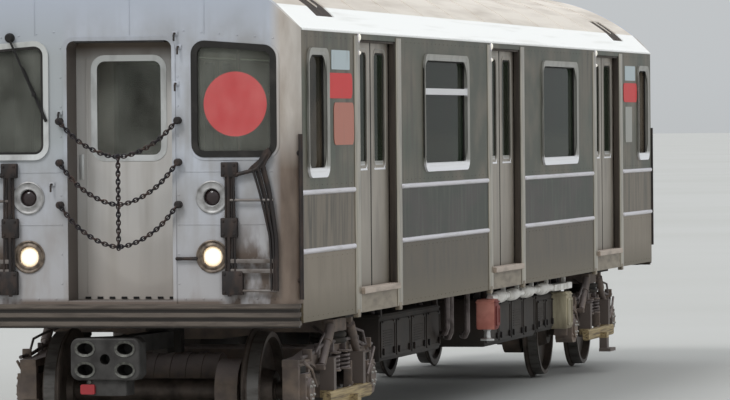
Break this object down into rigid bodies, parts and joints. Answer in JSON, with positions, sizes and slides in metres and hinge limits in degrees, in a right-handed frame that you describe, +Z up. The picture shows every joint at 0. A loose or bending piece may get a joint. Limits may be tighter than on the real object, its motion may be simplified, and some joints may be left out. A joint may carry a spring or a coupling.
{
  "type": "metro car",
  "caption": "Stainless metro car on two powered trucks, with sliding side doors, end doors, cabs, couplers and safety chains.",
  "frame": {"origin": "midway along and across the car, level with the lowest points of the wheel flanges", "axes": "+X towards the leading end, +Y to the car's left, +Z up"},
  "size_m": [15.681, 2.68, 3.6498],
  "materials": {
    "stainless_body": "satin stainless panels",
    "roof_panel": "weathered pale roof",
    "dark_steel": "dirty dark steel",
    "mask": "pale grey mask",
    "frame_metal": "bright window frame",
    "gasket": "black gasket",
    "window_glass": "dark tinted glass",
    "belt": "bright rail",
    "sign": "blank plates",
    "box_paint": "dark equipment paint",
    "resistor": "dull metal",
    "bezel": "lamp ring",
    "lens": "lamp lens",
    "rust": "rusty gates",
    "bench": "moulded bench",
    "pole": "polished pole",
    "panel": "inner panel",
    "floor_cover": "floor covering",
    "chain": "chain",
    "truck_paint": "brake dust over dark paint",
    "wheel_steel": "worn wheel steel",
    "bellows": "rubber",
    "shoe_wood": "shoe beam",
    "door_metal": "satin door leaf"
  },
  "bodies": {
    "carbody": {"roof": "roof_panel", "roof_vents": "dark_steel", "side_wall_left": "stainless_body", "side_wall_right": "stainless_body", "door_headers": "stainless_body", "thresholds": "frame_metal", "floor": "floor_cover", "end_front": "mask", "end_rear": "mask", "side_window_frames": "frame_metal", "end_window_frames": "gasket", "side_glass": "window_glass", "end_glass": "window_glass", "belt_rails": "belt", "sign_plates": "sign", "anticlimbers": "dark_steel", "underframe": "dark_steel", "equipment_boxes": "box_paint", "resistor_bank": "resistor", "air_reservoirs": "box_paint", "lamp_bezels": "bezel", "lamp_lenses": "lens", "corner_gates": "rust", "seats": "bench", "stanchions": "pole", "cab_partitions": "panel", "cab_consoles": "panel", "safety_chains_front": "chain", "safety_chains_rear": "chain"},
    "door_left_1_fore": {"door_left_1_fore": "door_metal"},
    "door_left_1_aft": {"door_left_1_aft": "door_metal"},
    "door_left_2_fore": {"door_left_2_fore": "door_metal"},
    "door_left_2_aft": {"door_left_2_aft": "door_metal"},
    "door_left_3_fore": {"door_left_3_fore": "door_metal"},
    "door_left_3_aft": {"door_left_3_aft": "door_metal"},
    "door_right_1_fore": {"door_right_1_fore": "door_metal"},
    "door_right_1_aft": {"door_right_1_aft": "door_metal"},
    "door_right_2_fore": {"door_right_2_fore": "door_metal"},
    "door_right_2_aft": {"door_right_2_aft": "door_metal"},
    "door_right_3_fore": {"door_right_3_fore": "door_metal"},
    "door_right_3_aft": {"door_right_3_aft": "door_metal"},
    "end_door_front": {"end_door_front": "door_metal"},
    "cab_door_front": {"cab_door_front": "panel"},
    "truck_front": {"truck_frame_front": "truck_paint", "truck_springs_front": "bellows", "truck_motors_front": "truck_paint", "shoe_beams_front": "shoe_wood"},
    "coupler_front": {"coupler_front": "dark_steel"},
    "end_door_rear": {"end_door_rear": "door_metal"},
    "cab_door_rear": {"cab_door_rear": "panel"},
    "truck_rear": {"truck_frame_rear": "truck_paint", "truck_springs_rear": "bellows", "truck_motors_rear": "truck_paint", "shoe_beams_rear": "shoe_wood"},
    "coupler_rear": {"coupler_rear": "dark_steel"},
    "wheelset_1": {"wheelset_1": "wheel_steel"},
    "wheelset_2": {"wheelset_2": "wheel_steel"},
    "wheelset_3": {"wheelset_3": "wheel_steel"},
    "wheelset_4": {"wheelset_4": "wheel_steel"}
  },
  "joints": [
    {"name": "door_left_1_fore_slide", "type": "slide", "parent": "carbody", "child": "door_left_1_fore", "axis": [1, 0, 0], "range_m": [0, 0.62]},
    {"name": "door_left_1_aft_slide", "type": "slide", "parent": "carbody", "child": "door_left_1_aft", "axis": [-1, 0, 0], "range_m": [0, 0.62]},
    {"name": "door_left_2_fore_slide", "type": "slide", "parent": "carbody", "child": "door_left_2_fore", "axis": [1, 0, 0], "range_m": [0, 0.62]},
    {"name": "door_left_2_aft_slide", "type": "slide", "parent": "carbody", "child": "door_left_2_aft", "axis": [-1, 0, 0], "range_m": [0, 0.62]},
    {"name": "door_left_3_fore_slide", "type": "slide", "parent": "carbody", "child": "door_left_3_fore", "axis": [1, 0, 0], "range_m": [0, 0.62]},
    {"name": "door_left_3_aft_slide", "type": "slide", "parent": "carbody", "child": "door_left_3_aft", "axis": [-1, 0, 0], "range_m": [0, 0.62]},
    {"name": "door_right_1_fore_slide", "type": "slide", "parent": "carbody", "child": "door_right_1_fore", "axis": [1, 0, 0], "range_m": [0, 0.62]},
    {"name": "door_right_1_aft_slide", "type": "slide", "parent": "carbody", "child": "door_right_1_aft", "axis": [-1, 0, 0], "range_m": [0, 0.62]},
    {"name": "door_right_2_fore_slide", "type": "slide", "parent": "carbody", "child": "door_right_2_fore", "axis": [1, 0, 0], "range_m": [0, 0.62]},
    {"name": "door_right_2_aft_slide", "type": "slide", "parent": "carbody", "child": "door_right_2_aft", "axis": [-1, 0, 0], "range_m": [0, 0.62]},
    {"name": "door_right_3_fore_slide", "type": "slide", "parent": "carbody", "child": "door_right_3_fore", "axis": [1, 0, 0], "range_m": [0, 0.62]},
    {"name": "door_right_3_aft_slide", "type": "slide", "parent": "carbody", "child": "door_right_3_aft", "axis": [-1, 0, 0], "range_m": [0, 0.62]},
    {"name": "end_door_front_slide", "type": "slide", "parent": "carbody", "child": "end_door_front", "axis": [0, 1, 0], "range_m": [0, 0.75]},
    {"name": "end_door_rear_slide", "type": "slide", "parent": "carbody", "child": "end_door_rear", "axis": [0, -1, 0], "range_m": [0, 0.75]},
    {"name": "cab_door_front_hinge", "type": "hinge", "parent": "carbody", "child": "cab_door_front", "pos_m": [6.3405, -1.052, 2.05], "axis": [0, 0, -1], "range_deg": [0, 85]},
    {"name": "cab_door_rear_hinge", "type": "hinge", "parent": "carbody", "child": "cab_door_rear", "pos_m": [-6.3405, 1.052, 2.05], "axis": [0, 0, -1], "range_deg": [0, 85]},
    {"name": "truck_front_swivel", "type": "hinge", "parent": "carbody", "child": "truck_front", "pos_m": [5.486, 0, 0.96], "axis": [0, 0, 1], "range_deg": [-7, 7]},
    {"name": "truck_rear_swivel", "type": "hinge", "parent": "carbody", "child": "truck_rear", "pos_m": [-5.486, 0, 0.96], "axis": [0, 0, 1], "range_deg": [-7, 7]},
    {"name": "wheelset_1_spin", "type": "hinge", "parent": "truck_front", "child": "wheelset_1", "pos_m": [6.5275, 0, 0.46], "axis": [0, 1, 0], "continuous": true},
    {"name": "wheelset_2_spin", "type": "hinge", "parent": "truck_front", "child": "wheelset_2", "pos_m": [4.4445, 0, 0.46], "axis": [0, 1, 0], "continuous": true},
    {"name": "wheelset_3_spin", "type": "hinge", "parent": "truck_rear", "child": "wheelset_3", "pos_m": [-4.4445, 0, 0.46], "axis": [0, 1, 0], "continuous": true},
    {"name": "wheelset_4_spin", "type": "hinge", "parent": "truck_rear", "child": "wheelset_4", "pos_m": [-6.5275, 0, 0.46], "axis": [0, 1, 0], "continuous": true},
    {"name": "coupler_front_swing", "type": "hinge", "parent": "carbody", "child": "coupler_front", "pos_m": [6.55, 0, 0.835], "axis": [0, 0, 1], "range_deg": [-15.5, 24.5]},
    {"name": "coupler_rear_swing", "type": "hinge", "parent": "carbody", "child": "coupler_rear", "pos_m": [-6.55, 0, 0.835], "axis": [0, 0, 1], "range_deg": [-15.5, 24.5]}
  ]
}
